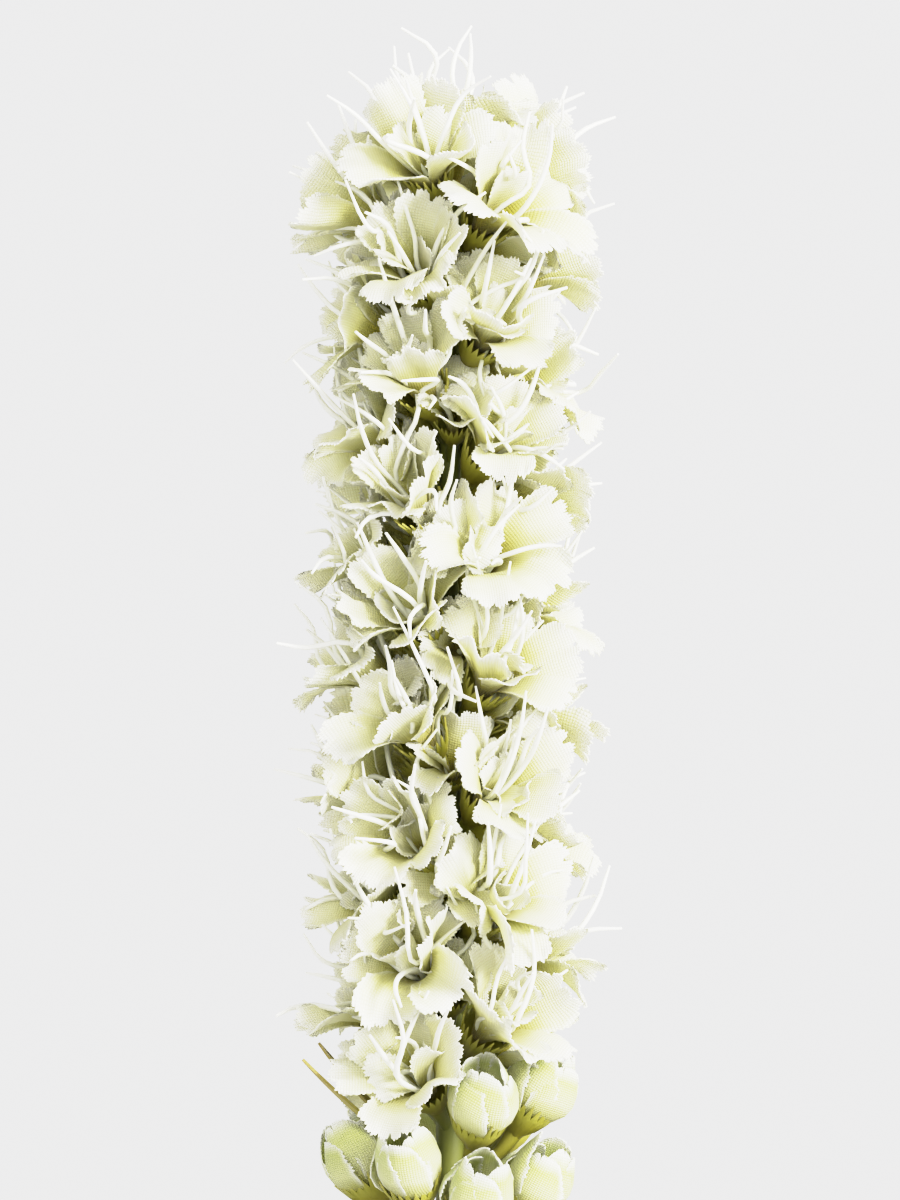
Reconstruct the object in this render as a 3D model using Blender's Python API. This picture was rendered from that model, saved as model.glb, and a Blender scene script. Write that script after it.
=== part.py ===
"""An artificial blazing star: one spike of fabric florets on a moulded stem, in a plain ceramic bottle vase.

Metres, +Z up, with the origin at the middle of the vase's foot. The stem stands on the vase's inner floor and
the narrow neck holds it upright.
"""

import math
import random

import bmesh
import bpy
from mathutils import Matrix, Vector

# Space that two separate pieces keep where they meet
GAP = 0.0003

# Vase: a turned bottle with a narrow neck and a small trumpet lip
VASE_HEIGHT = 0.150
BELLY_RADIUS = 0.042
FOOT_RADIUS = 0.027
NECK_RADIUS = 0.0098
LIP_RADIUS = 0.0128
BORE_RADIUS = 0.0037
FLOOR_THICKNESS = 0.006
VASE_STEPS = 20
NECK_HEIGHT = 0.134
LIP_ROUNDING = 0.0012
LIP_MOUTH = 0.0034

# Stem: straight and tapering, from the vase's floor to the terminal floret
STEM_FOOT_RADIUS = 0.0030
STEM_TIP_RADIUS = 0.0016
STEM_SIDES = 8
TERMINAL_HEIGHT = 0.4362
STEM_END = 0.0020

# Open florets: one at the tip, then whorls of three, each turned half a step from the one above
FLORETS_PER_WHORL = 3
WHORLS = 17
FIRST_WHORL_DROP = 0.0020
WHORL_PITCH = 0.01025
CROWN_PITCH = 0.0082
CROWN_WHORLS = 2
CROWN_GROWTH = 1.34
FLORET_ELEVATION = 40.0
TOP_ELEVATION = 46.0
FIRST_AZIMUTH = -115.0
AZIMUTH_WANDER = 3.5
ELEVATION_WANDER = 2.0
HEIGHT_WANDER = 0.0006
LAYOUT_SEED = 8

# One floret, measured along its own axis from the middle of the stem
PEG_RADIUS = 0.0011
CALYX_START = 0.0075
CALYX_RIM = 0.0150
CALYX_DISH = 0.0130
CALYX_NECK_RADIUS = 0.0019
CALYX_TIP_RADIUS = 0.0056
CALYX_TIP_RISE = 0.0013
CALYX_NOTCH_RADIUS = 0.0044
CALYX_TEETH = 5
TUBE_START = CALYX_DISH + 0.0005
TUBE_SHOULDER = 0.0155
TUBE_RADIUS = 0.0030
THROAT = 0.0175
THROAT_RADIUS = 0.0043
THROAT_FLOOR = 0.0166
LOBES = 5
LOBE_LENGTH = 0.0088
LOBE_HALF_ANGLE = 31.0
LOBE_FLARE = 52.0
LOBE_DROOP = 9.0
LOBE_FLARE_WANDER = 5.0
LOBE_LENGTH_WANDER = 0.06
LOBE_SHOULDER = 0.48
LOBE_THICKNESS = 0.0007
LOBE_TEETH = (1.0, 0.84, 1.04, 0.86, 0.98)
THROAT_WALL = 0.0004
STAMENS = 3
STAMEN_LENGTH = 0.0170
STAMEN_RADIUS = 0.0006
STAMEN_ROOT_RADIUS = 0.0012
STAMEN_ROOT_DEPTH = 0.0016
STAMEN_LEAN = (10.0, 20.0)
STAMEN_BEND = (-16.0, 22.0)

# Half-closed buds under the florets, each on a bent peg: direction and height of the belly's middle
BUD_PLACES = (
    (-70, 0.2800), (-18, 0.2815), (48, 0.2765), (112, 0.2675), (180, 0.2680), (-117, 0.2685),
    (-72, 0.2634), (-20, 0.2648), (46, 0.2598), (110, 0.2508), (179, 0.2512), (-119, 0.2518))
BUD_REACH = 0.0170
BUD_ELEVATION = 62.0
BUD_RADIUS = 0.0063
BUD_LENGTH = 0.0145
BUD_BELLY = 0.42
BUD_LIFT = 0.0006
BUD_SIDES = 8
BUD_RINGS = ((0.34, 0.14), (0.96, 0.34), (1.0, 0.58), (0.56, 0.92))
BUD_MOUTH = 0.60
BUD_FOLD = 0.92
BUD_PEAKS = (0.04, 0.09)
BUD_CALYX_SCALE = 0.78
BUD_CALYX_ROOT = 0.0004

# A bud's bent peg: it leaves the stem below the bud, bends under it and ends inside its calyx
PEG_DROP = 0.0085
PEG_BEND_IN = 0.0032
PEG_BEND_DOWN = 0.0036
PEG_END = 0.0010
BENT_PEG_RADIUS = 0.0012

# Green knops, the lowest and smallest buds, moulded with the stem
KNOPS = 4
KNOP_ZONE = (0.2360, 0.2200)
KNOP_LENGTH = 0.0078
KNOP_RADIUS = 0.0026
KNOP_START = 0.0015
KNOP_ELEVATION = 48.0

# Narrow leaves on the bare stem, and pointed bracts between the lowest florets and the buds
LEAVES = 11
LEAF_ZONE = (0.160, 0.212)
LEAF_LENGTHS = (0.088, 0.046)
LEAF_WIDTH = 0.0046
LEAF_ELEVATION = 68.0
LEAF_ARCH = 44.0
BRACT_PLACES = ((172, 0.2640), (17, 0.2620), (80, 0.2600), (-152, 0.2640))
BRACT_LENGTH = 0.031
BRACT_WIDTH = 0.0030
BRACT_ELEVATION = 36.0
BRACT_ARCH = -14.0
BLADE_THICKNESS = 0.0008
BLADE_STATIONS = ((0.0, 0.6), (0.35, 1.0), (0.7, 0.8), (1.0, 0.16))
GOLDEN_ANGLE = math.radians(137.5)


def clear_scene():
    for item in list(bpy.data.objects):
        bpy.data.objects.remove(item)


def finish(name, colour, roughness):
    """A plain material: the part's colour and gloss."""
    material = bpy.data.materials.new(name)
    material.use_nodes = True
    shader = material.node_tree.nodes["Principled BSDF"]
    shader.inputs["Base Color"].default_value = (*colour, 1.0)
    shader.inputs["Roughness"].default_value = roughness
    shader.inputs["Metallic"].default_value = 0.0
    return material


def add_object(name, shape, material):
    """Turns a bmesh into a named object with its faces pointing outwards."""
    bmesh.ops.recalc_face_normals(shape, faces=shape.faces)
    mesh = bpy.data.meshes.new(name)
    shape.to_mesh(mesh)
    shape.free()
    mesh.materials.append(material)
    made = bpy.data.objects.new(name, mesh)
    bpy.context.scene.collection.objects.link(made)
    return made


def smooth_line(points, steps):
    """Points on a smooth curve through the given ones (Catmull-Rom), with steps to each stretch."""
    ends = [points[0] * 2 - points[1], *points, points[-1] * 2 - points[-2]]
    line = []
    for a, b, c, d in zip(ends, ends[1:], ends[2:], ends[3:]):
        for step in range(steps):
            t = step / steps
            line.append(0.5 * (2 * b + (c - a) * t + (2 * a - 5 * b + 4 * c - d) * t * t
                               + (3 * b - 3 * c + d - a) * t ** 3))
    return [*line, points[-1]]


def skin_rings(shape, rings):
    """Joins rings with the same number of points by quads, and closes both ends."""
    rows = [[shape.verts.new(point) for point in ring] for ring in rings]
    for low, high in zip(rows, rows[1:]):
        for i, corner in enumerate(low):
            j = (i + 1) % len(low)
            shape.faces.new((corner, low[j], high[j], high[i]))
    shape.faces.new(reversed(rows[0]))
    shape.faces.new(rows[-1])


def circle(radius, height, sides, turn=0.0):
    """Corners of a level polygon round the local Z axis."""
    return [Vector((radius * math.cos(turn + math.tau * i / sides),
                    radius * math.sin(turn + math.tau * i / sides), height)) for i in range(sides)]


def union_into(target, pieces):
    """Joins the pieces to the target as one solid, and removes them."""
    group = bpy.data.collections.new(target.name + "_pieces")
    bpy.context.scene.collection.children.link(group)
    for piece in pieces:
        group.objects.link(piece)
    modifier = target.modifiers.new("Join", "BOOLEAN")
    modifier.operation = "UNION"
    modifier.operand_type = "COLLECTION"
    modifier.collection = group
    modifier.solver = "EXACT"
    graph = bpy.context.evaluated_depsgraph_get()
    joined = bpy.data.meshes.new_from_object(target.evaluated_get(graph))
    target.modifiers.remove(modifier)
    target.data = joined
    for piece in pieces:
        bpy.data.objects.remove(piece)
    bpy.data.collections.remove(group)


def make_vase(material):
    """A turned bottle: a full belly, a slim neck with a narrow bore, and a lip that opens like a trumpet."""
    outside = smooth_line([Vector((r, 0.0, z)) for r, z in (
        (FOOT_RADIUS, 0.0),
        (BELLY_RADIUS * 0.93, VASE_HEIGHT * 0.14),
        (BELLY_RADIUS, VASE_HEIGHT * 0.29),
        (BELLY_RADIUS * 0.76, VASE_HEIGHT * 0.52),
        (NECK_RADIUS * 1.18, VASE_HEIGHT * 0.74),
        (NECK_RADIUS, VASE_HEIGHT * 0.87),
        (LIP_RADIUS, VASE_HEIGHT - LIP_ROUNDING))], 2)
    inside = [Vector((r, 0.0, z)) for r, z in (
        (LIP_RADIUS - LIP_ROUNDING, VASE_HEIGHT),
        (LIP_RADIUS - LIP_MOUTH, VASE_HEIGHT - LIP_ROUNDING),
        (BORE_RADIUS, NECK_HEIGHT),
        (BORE_RADIUS, VASE_HEIGHT * 0.74),
        (BELLY_RADIUS * 0.40, VASE_HEIGHT * 0.62),
        (BELLY_RADIUS * 0.80, VASE_HEIGHT * 0.40),
        (BELLY_RADIUS * 0.86, VASE_HEIGHT * 0.22),
        (FOOT_RADIUS * 0.90, FLOOR_THICKNESS))]
    outline = [Vector((0.0, 0.0, 0.0)), *outside, *inside, Vector((0.0, 0.0, FLOOR_THICKNESS))]
    shape = bmesh.new()
    corners = [shape.verts.new(point) for point in outline]
    edges = [shape.edges.new(pair) for pair in zip(corners, corners[1:])]
    bmesh.ops.spin(shape, geom=corners + edges, cent=(0, 0, 0), axis=(0, 0, 1), angle=math.tau,
                   steps=VASE_STEPS, use_merge=True)
    bmesh.ops.remove_doubles(shape, verts=shape.verts, dist=1e-6)
    vase = add_object("vase", shape, material)
    vase.data.shade_smooth()
    vase.data.set_sharp_from_angle(angle=math.radians(40))
    return vase


def axis_frame(height, azimuth, elevation, reach=0.0):
    """Local frame of a floret, bud or leaf: +Z runs out along its axis, and +X points out and down."""
    return (Matrix.Translation((0, 0, height)) @ Matrix.Rotation(azimuth, 4, "Z")
            @ Matrix.Translation((reach, 0, 0)) @ Matrix.Rotation(math.pi / 2 - elevation, 4, "Y"))


def floret_frames():
    """Frames of the open florets from the tip down, grouped into whorls."""
    draw = random.Random(LAYOUT_SEED)
    whorls = [[axis_frame(TERMINAL_HEIGHT, 0.0, math.pi / 2)]]
    for whorl in range(WHORLS):
        elevation = TOP_ELEVATION if whorl == 0 else FLORET_ELEVATION
        drop = 0.0 if whorl == 0 else CROWN_PITCH + (whorl - 1) * WHORL_PITCH
        frames = []
        for place in range(FLORETS_PER_WHORL):
            turn = FIRST_AZIMUTH + (place + whorl / 2) * 360.0 / FLORETS_PER_WHORL
            frames.append(axis_frame(
                TERMINAL_HEIGHT - FIRST_WHORL_DROP - drop + draw.uniform(-1, 1) * HEIGHT_WANDER,
                math.radians(turn + draw.uniform(-1, 1) * AZIMUTH_WANDER),
                math.radians(elevation + draw.uniform(-1, 1) * ELEVATION_WANDER)))
        whorls.append(frames)
    # A bud takes the place of the last whorl's third floret
    del whorls[-1][2]
    return whorls


def bud_frame(azimuth, belly_height):
    """Frame of a bud: its origin is where the bent peg meets the calyx."""
    angle = math.radians(BUD_ELEVATION)
    back = BUD_LENGTH * BUD_BELLY + (CALYX_DISH - CALYX_START + BUD_LIFT) * BUD_CALYX_SCALE
    return axis_frame(belly_height - back * math.sin(angle), math.radians(azimuth), angle,
                      BUD_REACH - back * math.cos(angle))


def calyx(scale, start, root_length):
    """A peg that widens into a toothed cup. The dish in the cup's top takes the petals' tube."""
    shape = bmesh.new()
    length = (CALYX_RIM - CALYX_START) * scale
    rim = start + length
    root = circle(PEG_RADIUS, start - root_length, CALYX_TEETH)
    neck = circle(CALYX_NECK_RADIUS * scale, start, CALYX_TEETH)
    rows = [[shape.verts.new(point) for point in ring] for ring in (root, neck)]
    crown = []
    for i in range(2 * CALYX_TEETH):
        tooth = i % 2 == 0
        radius = (CALYX_TIP_RADIUS if tooth else CALYX_NOTCH_RADIUS) * scale
        turn = math.tau * i / (2 * CALYX_TEETH)
        rise = rim + (CALYX_TIP_RISE * scale if tooth else 0.0)
        crown.append(shape.verts.new((radius * math.cos(turn), radius * math.sin(turn), rise)))
    dish = shape.verts.new((0, 0, rim - (CALYX_RIM - CALYX_DISH) * scale))
    shape.faces.new(reversed(rows[0]))
    for i in range(CALYX_TEETH):
        j = (i + 1) % CALYX_TEETH
        tip, notch, next_tip = crown[2 * i], crown[2 * i + 1], crown[(2 * i + 2) % len(crown)]
        shape.faces.new((rows[0][i], rows[0][j], rows[1][j], rows[1][i]))
        shape.faces.new((rows[1][i], notch, tip))
        shape.faces.new((rows[1][i], rows[1][j], notch))
        shape.faces.new((rows[1][j], next_tip, notch))
        shape.faces.new((dish, tip, notch))
        shape.faces.new((dish, notch, next_tip))
    return shape


def corolla(draw, growth):
    """A short tube with five spreading lobes, each a fan-shaped blade with a cut, toothed outer edge."""
    shape = bmesh.new()
    step = math.tau / LOBES
    turn = draw.uniform(0, step)

    def at(angle, radius, height):
        return shape.verts.new((radius * math.cos(angle), radius * math.sin(angle), height))

    tube = [at(turn + step * i, TUBE_RADIUS, TUBE_SHOULDER) for i in range(LOBES)]
    under = [at(turn + step * i, THROAT_RADIUS, THROAT) for i in range(LOBES)]
    over = [at(turn + step * i, THROAT_RADIUS - THROAT_WALL, THROAT + LOBE_THICKNESS) for i in range(LOBES)]
    bottom = shape.verts.new((0, 0, TUBE_START))
    floor = shape.verts.new((0, 0, THROAT_FLOOR))
    for i in range(LOBES):
        j = (i + 1) % LOBES
        shape.faces.new((bottom, tube[j], tube[i]))
        shape.faces.new((tube[i], tube[j], under[j], under[i]))
        shape.faces.new((floor, over[i], over[j]))
        middle = turn + step * (i + 0.5)
        downward = math.cos(middle)
        flare = math.radians(LOBE_FLARE + LOBE_DROOP * downward
                             + draw.uniform(-LOBE_FLARE_WANDER, LOBE_FLARE_WANDER))
        length = LOBE_LENGTH * growth * (1 + draw.uniform(-LOBE_LENGTH_WANDER, LOBE_LENGTH_WANDER))
        half = math.radians(LOBE_HALF_ANGLE)
        out = Vector((math.sin(flare), math.cos(flare)))
        lift = Vector((-math.cos(flare), math.sin(flare))) * LOBE_THICKNESS
        fan = []
        teeth = zip(LOBE_TEETH, (-half, -half / 2, 0, half / 2, half))
        for share, angle in ((LOBE_SHOULDER, -half * 0.98), *teeth, (LOBE_SHOULDER, half * 0.98)):
            r = THROAT_RADIUS + out[0] * length * share
            z = THROAT + out[1] * length * share
            fan.append((at(middle + angle, r, z), at(middle + angle, r + lift[0], z + lift[1])))
        low, high = [pair[0] for pair in fan], [pair[1] for pair in fan]
        for near, far, points, flip in ((under[i], under[j], low, True), (over[i], over[j], high, False)):
            faces = [(near, points[0], points[-1]), (near, points[-1], far)]
            faces += [(points[0], points[1], points[2]), (points[0], points[2], points[3]),
                      (points[0], points[3], points[6]), (points[6], points[3], points[4]),
                      (points[6], points[4], points[5])]
            for face in faces:
                shape.faces.new(reversed(face) if flip else face)
        rim_low, rim_high = [under[i], *low, under[j]], [over[i], *high, over[j]]
        for a, b, c, d in zip(rim_low, rim_low[1:], rim_high[1:], rim_high):
            shape.faces.new((a, b, c, d))
    return shape


def stamen(draw, turn):
    """A three-sided curved filament, rooted in the throat and tapering to a point."""
    shape = bmesh.new()
    lean = math.radians(draw.uniform(*STAMEN_LEAN))
    bend = math.radians(draw.uniform(*STAMEN_BEND))
    heading = Vector((math.cos(turn), math.sin(turn), 0))
    place = heading * STAMEN_ROOT_RADIUS + Vector((0, 0, THROAT_FLOOR - STAMEN_ROOT_DEPTH))
    rings = []
    for share, thickness in ((0.0, 1.0), (0.5, 0.85), (1.0, 0.0)):
        angle = lean + bend * share
        direction = heading * math.sin(angle) + Vector((0, 0, math.cos(angle)))
        centre = place + direction * STAMEN_LENGTH * share
        rings.append([centre + corner for corner in circle(STAMEN_RADIUS * thickness, 0.0, 3, turn)])
    rows = [[shape.verts.new(point) for point in ring] for ring in rings[:2]]
    tip = shape.verts.new(rings[2][0])
    shape.faces.new(reversed(rows[0]))
    for i in range(3):
        j = (i + 1) % 3
        shape.faces.new((rows[0][i], rows[0][j], rows[1][j], rows[1][i]))
        shape.faces.new((rows[1][i], rows[1][j], tip))
    return shape


def floret_pieces(name, number, frame, growth, material):
    """Objects of one open floret: its corolla first, then its filaments."""
    draw = random.Random(LAYOUT_SEED * 1000 + number)
    floret = add_object(name, corolla(draw, growth), material)
    floret.matrix_local = frame
    first = draw.uniform(0, math.tau)
    filaments = []
    for i in range(STAMENS):
        filament = add_object(f"{name}_filament_{i}", stamen(draw, first + math.tau * i / STAMENS), material)
        filament.matrix_local = frame
        filaments.append(filament)
    return [floret, *filaments]


def make_florets(material):
    """Every open floret sits in the dish of its calyx. Those of the crown are pressed into one solid."""
    crown = []
    number = 0
    for whorl, frames in enumerate(floret_frames()):
        in_crown = whorl <= CROWN_WHORLS
        for frame in frames:
            name = "floret_crown" if in_crown else f"floret_{number + 1:02d}"
            growth = CROWN_GROWTH if in_crown else 1.0
            made = floret_pieces(name, whorl * 10 + number, frame, growth, material)
            if in_crown:
                crown += made
            else:
                number += 1
                bpy.context.view_layer.update()
                union_into(made[0], made[1:])
    bpy.context.view_layer.update()
    union_into(crown[0], crown[1:])


def make_bud(number, frame, material):
    """A half-closed bud: a round belly of cupped petals, with a lobed and hollow mouth."""
    draw = random.Random(LAYOUT_SEED * 2000 + number)
    shape = bmesh.new()
    turn = draw.uniform(0, math.tau)
    start = (CALYX_DISH - CALYX_START) * BUD_CALYX_SCALE + GAP
    rings = []
    for row, (width, along) in enumerate(BUD_RINGS):
        ring = []
        for i in range(BUD_SIDES):
            edge = 1.0 if i % 2 == 0 else BUD_FOLD
            peak = draw.uniform(*BUD_PEAKS) if row == 3 and i % 2 == 0 else 0.0
            angle = turn + math.tau * i / BUD_SIDES
            radius = BUD_RADIUS * width * edge
            ring.append(shape.verts.new((radius * math.cos(angle), radius * math.sin(angle),
                                         start + BUD_LENGTH * (along + peak))))
        rings.append(ring)
    foot = shape.verts.new((0, 0, start))
    mouth = shape.verts.new((0, 0, start + BUD_LENGTH * BUD_MOUTH))
    for low, high in zip(rings, rings[1:]):
        for i in range(BUD_SIDES):
            j = (i + 1) % BUD_SIDES
            shape.faces.new((low[i], low[j], high[j], high[i]))
    for i in range(BUD_SIDES):
        j = (i + 1) % BUD_SIDES
        shape.faces.new((foot, rings[0][j], rings[0][i]))
        shape.faces.new((mouth, rings[-1][i], rings[-1][j]))
    bud = add_object(f"bud_{number:02d}", shape, material)
    bud.matrix_local = frame
    return bud


def bent_peg(frame):
    """A peg that leaves the stem at a slant and then bends up to a bud's calyx."""
    end = frame.translation
    out = Vector((end.x, end.y, 0)).normalized()
    middle = end - out * PEG_BEND_IN - Vector((0, 0, PEG_BEND_DOWN))
    start = Vector((0, 0, end.z - PEG_DROP))
    top = end + (frame.to_3x3() @ Vector((0, 0, 1))) * PEG_END
    side = out.cross(Vector((0, 0, 1)))
    shape = bmesh.new()
    rings = []
    for point, along in ((start, middle - start), (middle, end - start), (top, top - middle)):
        normal = along.normalized().cross(side)
        corners = [side, normal, -side, -normal]
        rings.append([point + corner * BENT_PEG_RADIUS for corner in corners])
    skin_rings(shape, rings)
    return shape


def knop():
    """A small closed green bud on the stem."""
    shape = bmesh.new()
    skin_rings(shape, [circle(KNOP_RADIUS * width, KNOP_LENGTH * along + KNOP_START, 5)
                       for width, along in ((0.45, 0.0), (1.0, 0.45), (0.85, 0.72), (0.18, 1.0))])
    return shape


def blade(length, width, arch):
    """A narrow pointed blade along local +Z that arches towards +X."""
    shape = bmesh.new()
    rings = []
    place = Vector((0.0, 0.0, 0.0))
    last = 0.0
    for share, wide in BLADE_STATIONS:
        angle = arch * share
        direction = Vector((math.sin(angle), 0.0, math.cos(angle)))
        place = place + direction * length * (share - last)
        last = share
        across = Vector((0.0, width * wide / 2, 0.0))
        through = Vector((math.cos(angle), 0.0, -math.sin(angle))) * BLADE_THICKNESS / 2
        rings.append([place - across - through, place + across - through,
                      place + across + through, place - across + through])
    skin_rings(shape, rings)
    return shape


def make_stem(material):
    """The moulded stem with its leaves, bracts and every calyx, as one solid."""
    shape = bmesh.new()
    skin_rings(shape, [circle(radius, height, STEM_SIDES) for radius, height in (
        (STEM_FOOT_RADIUS, FLOOR_THICKNESS + GAP),
        (STEM_FOOT_RADIUS, VASE_HEIGHT),
        (STEM_FOOT_RADIUS * 0.9, KNOP_ZONE[1]),
        (STEM_TIP_RADIUS, TERMINAL_HEIGHT + STEM_END))])
    stem = add_object("flower_stem", shape, material)
    pieces = []

    def grow(made, frame):
        piece = add_object(f"growth_{len(pieces)}", made, material)
        piece.matrix_local = frame
        pieces.append(piece)

    for whorl in floret_frames():
        for frame in whorl:
            grow(calyx(1.0, CALYX_START, CALYX_START), frame)
    for place in BUD_PLACES:
        frame = bud_frame(*place)
        grow(calyx(BUD_CALYX_SCALE, 0.0, BUD_CALYX_ROOT), frame)
        grow(bent_peg(frame), Matrix.Identity(4))
    for number in range(KNOPS):
        height = KNOP_ZONE[0] + (KNOP_ZONE[1] - KNOP_ZONE[0]) * number / (KNOPS - 1)
        grow(knop(), axis_frame(height, GOLDEN_ANGLE * number, math.radians(KNOP_ELEVATION)))
    for number in range(LEAVES):
        share = number / (LEAVES - 1)
        height = LEAF_ZONE[0] + (LEAF_ZONE[1] - LEAF_ZONE[0]) * share
        length = LEAF_LENGTHS[0] + (LEAF_LENGTHS[1] - LEAF_LENGTHS[0]) * share
        grow(blade(length, LEAF_WIDTH, math.radians(LEAF_ARCH)),
             axis_frame(height, GOLDEN_ANGLE * number, math.radians(LEAF_ELEVATION)))
    for azimuth, height in BRACT_PLACES:
        grow(blade(BRACT_LENGTH, BRACT_WIDTH, math.radians(BRACT_ARCH)),
             axis_frame(height, math.radians(azimuth), math.radians(BRACT_ELEVATION)))
    bpy.context.view_layer.update()
    union_into(stem, pieces)
    return stem


def main():
    clear_scene()
    ceramic = finish("ceramic", (0.86, 0.84, 0.80), 0.45)
    green = finish("stem_green", (0.30, 0.32, 0.07), 0.55)
    cream = finish("petal_cream", (0.90, 0.91, 0.78), 0.85)
    pale_green = finish("bud_green", (0.75, 0.80, 0.52), 0.80)

    make_vase(ceramic)
    make_stem(green)
    make_florets(cream)
    for number, place in enumerate(BUD_PLACES, 1):
        make_bud(number, bud_frame(*place), pale_green)


main()
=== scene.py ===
# %% [markdown]
# # An artificial blazing star in a bottle vase
#
# A blazing star is one upright spike crowded with small florets that open from the top down. This one is
# made like a shop flower: woven fabric petals and soft plastic filaments are pushed into toothed green
# cups, and the cups sit on the pegs of one moulded stem. Closed buds follow below, and a plain glazed vase
# holds the stem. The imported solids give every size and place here. The lesson dresses them in finer pieces.

# %% Load the frame
import math
import random

import bmesh
import bpy
import numpy as np
from mathutils import Matrix, Vector


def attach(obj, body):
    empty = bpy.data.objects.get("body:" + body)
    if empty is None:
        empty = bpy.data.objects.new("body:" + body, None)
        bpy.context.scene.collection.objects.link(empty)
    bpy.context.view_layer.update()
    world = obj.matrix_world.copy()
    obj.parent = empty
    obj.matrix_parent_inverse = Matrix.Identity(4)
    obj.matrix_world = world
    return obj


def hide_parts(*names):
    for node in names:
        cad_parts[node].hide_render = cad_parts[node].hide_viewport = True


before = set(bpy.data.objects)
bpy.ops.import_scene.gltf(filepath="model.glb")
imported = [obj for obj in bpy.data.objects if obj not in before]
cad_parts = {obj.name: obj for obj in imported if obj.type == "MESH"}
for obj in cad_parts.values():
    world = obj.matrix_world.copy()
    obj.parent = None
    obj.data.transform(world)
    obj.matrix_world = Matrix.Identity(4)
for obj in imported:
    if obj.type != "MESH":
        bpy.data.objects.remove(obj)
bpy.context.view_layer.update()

# %% [markdown]
# ## Where everything grows
#
# The florets follow a rule: whorls of three, each turned half a step from the one above, with a little
# wander so that no two look stamped. The same rule and the same seeds made the solids, so each fine floret
# lands in the cup of its own solid. A frame is a matrix whose Z axis runs out along the floret, which lets
# every floret be modelled upright at the origin and then be set in place.

# %% The layout rule
TERMINAL_HEIGHT = 0.4362
WHORLS = 17
WHORL_PITCH = 0.01025
CROWN_PITCH = 0.0082
CROWN_WHORLS = 2
CROWN_GROWTH = 1.34
LAYOUT_SEED = 8
GOLDEN_ANGLE = math.radians(137.5)


def axis_frame(height, azimuth, elevation, reach=0.0):
    """Local +Z runs out along the floret, bud or leaf, and local +X points out and down."""
    return (Matrix.Translation((0, 0, height)) @ Matrix.Rotation(azimuth, 4, "Z")
            @ Matrix.Translation((reach, 0, 0)) @ Matrix.Rotation(math.pi / 2 - elevation, 4, "Y"))


def floret_whorls():
    draw = random.Random(LAYOUT_SEED)
    whorls = [[axis_frame(TERMINAL_HEIGHT, 0.0, math.pi / 2)]]
    for whorl in range(WHORLS):
        elevation = 46.0 if whorl == 0 else 40.0
        drop = 0.0 if whorl == 0 else CROWN_PITCH + (whorl - 1) * WHORL_PITCH
        whorls.append([axis_frame(
            TERMINAL_HEIGHT - 0.0020 - drop + draw.uniform(-1, 1) * 0.0006,
            math.radians(-115.0 + (place + whorl / 2) * 120.0 + draw.uniform(-1, 1) * 3.5),
            math.radians(elevation + draw.uniform(-1, 1) * 2.0)) for place in range(3)])
    del whorls[-1][2]
    return whorls


whorls = floret_whorls()
print("florets", sum(len(whorl) for whorl in whorls))

# %% [markdown]
# Between the big florets the spike has small half-open ones, which hide the stem. They stand in the gaps of
# the rule above, a little lower than the big ones, and are soft filling only, so the solids leave them out.
# Each has four fans and one tongue, and is made like a big one at seven tenths of its size.

# %% The small florets between
SMALL_SCALE = 0.72


def small_frames():
    draw = random.Random(LAYOUT_SEED + 1)
    frames = []
    for whorl in range(1, WHORLS - 1):
        height = TERMINAL_HEIGHT - CROWN_PITCH - (whorl - 0.5) * WHORL_PITCH
        for place in range(3):
            azimuth = -85.0 + (place + whorl / 2) * 120.0 + draw.uniform(-9, 9)
            frames.append(axis_frame(height, math.radians(azimuth), math.radians(42 + draw.uniform(-7, 7))))
    return frames


between = small_frames()
print("small florets", len(between))

# %% [markdown]
# The half-closed buds stand on bent pegs, so their frames start where the peg meets the cup and not on the
# stem's axis. Each is named by its direction and the height of its belly.

# %% The buds' frames
BUD_PLACES = (
    (-70, 0.2800), (-18, 0.2815), (48, 0.2765), (112, 0.2675), (180, 0.2680), (-117, 0.2685),
    (-72, 0.2634), (-20, 0.2648), (46, 0.2598), (110, 0.2508), (179, 0.2512), (-119, 0.2518))
BUD_TILT = math.radians(62)
BUD_SCALE = 0.78
BUD_REACH = 0.0170
BUD_BACK = 0.0145 * 0.42 + 0.0061 * BUD_SCALE


def bud_frame(azimuth, belly_height):
    return axis_frame(belly_height - BUD_BACK * math.sin(BUD_TILT), math.radians(azimuth), BUD_TILT,
                      BUD_REACH - BUD_BACK * math.cos(BUD_TILT))


bud_frames = [bud_frame(*place) for place in BUD_PLACES]
print("buds", len(bud_frames))

# %% [markdown]
# ## Tools for modelling
#
# Operators act on whatever is selected, and a freshly loaded frame is selected all over. These few helpers
# clear the selection, pick points by their place in edit mode, and copy a finished template. Every copy has
# its own mesh, so it can be bent on its own, and its place is written into the mesh.

# %% Selecting, copying and joining
def deselect():
    bpy.ops.object.select_all(action="DESELECT")


def take(*objects):
    """Selects these objects only, the first one active."""
    deselect()
    for item in objects:
        item.select_set(True)
    bpy.context.view_layer.objects.active = objects[0]


def pick(test):
    """In edit mode: selects the points whose place passes the test."""
    mesh = bpy.context.edit_object.data
    shape = bmesh.from_edit_mesh(mesh)
    for point in shape.verts:
        point.select = test(point.co)
    shape.select_flush_mode()
    bmesh.update_edit_mesh(mesh)


def edit(piece):
    take(piece)
    bpy.ops.object.mode_set(mode="EDIT")
    bpy.ops.mesh.select_mode(type="VERT")


def leave():
    bpy.ops.object.mode_set(mode="OBJECT")


def copy_of(template, name):
    copied = template.copy()
    copied.data = template.data.copy()
    copied.name = copied.data.name = name
    bpy.context.scene.collection.objects.link(copied)
    return copied


def join(name, pieces):
    """Joins the pieces into the first one."""
    take(*pieces)
    if len(pieces) > 1:
        bpy.ops.object.join()
    pieces[0].name = pieces[0].data.name = name
    return pieces[0]


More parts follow.
